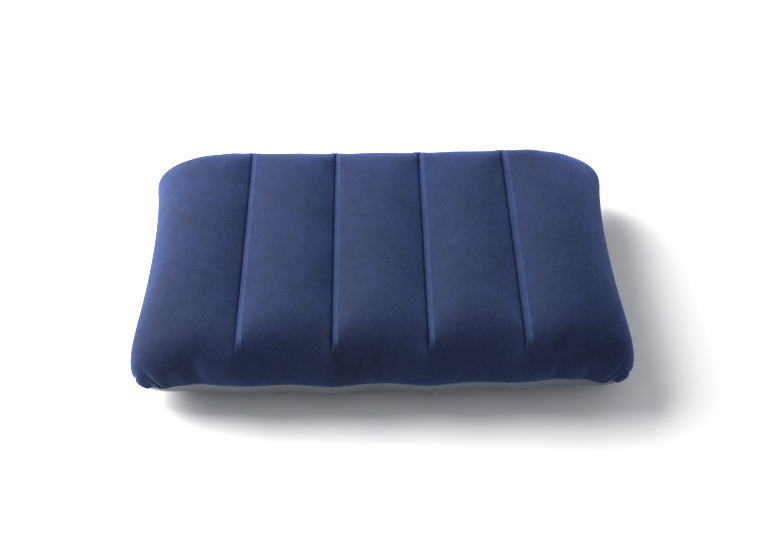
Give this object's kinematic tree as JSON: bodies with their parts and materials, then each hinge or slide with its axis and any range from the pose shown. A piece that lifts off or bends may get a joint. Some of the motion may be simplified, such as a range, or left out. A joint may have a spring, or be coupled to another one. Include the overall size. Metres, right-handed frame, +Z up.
{
  "type": "inflatable camp pillow",
  "caption": "Inflated rectangular camp pillow with a flocked top, plain bottom sheet, inner tension beams and a recessed mouth valve.",
  "frame": {"origin": "centre of the bounding box, on the plane that the pillow rests on", "axes": "+X along the length, across the channels; +Y to the rear, along the channels; +Z up"},
  "size_m": [0.43, 0.291, 0.092],
  "materials": {
    "flock": "short flocked pile on vinyl film",
    "film": "soft satin vinyl film",
    "beam_film": "satin vinyl film",
    "valve_vinyl": "soft translucent vinyl moulding"
  },
  "bodies": {
    "pillow": {"top_panel": "flock", "bottom_panel": "film", "beam_1": "beam_film", "beam_2": "beam_film", "beam_3": "beam_film", "beam_4": "beam_film", "valve_flange": "valve_vinyl", "valve_skirt": "valve_vinyl"},
    "stem": {"valve_stem": "valve_vinyl"},
    "plug": {"valve_plug": "valve_vinyl"},
    "flap": {"check_flap": "valve_vinyl"}
  },
  "joints": [
    {"name": "stem_slide", "type": "slide", "parent": "pillow", "child": "stem", "axis": [0, 0.8159, -0.5782], "range_m": [0, 0.012], "deforming": ["valve_skirt"]},
    {"name": "plug_hinge", "type": "hinge", "parent": "stem", "child": "plug", "pos_m": [0.004, 0.13474, 0.02151], "axis": [1, 0, 0], "range_deg": [0, 120]},
    {"name": "flap_hinge", "type": "hinge", "parent": "stem", "child": "flap", "pos_m": [0.004, 0.11747, 0.02075], "axis": [1, 0, 0], "range_deg": [0, 60]}
  ]
}
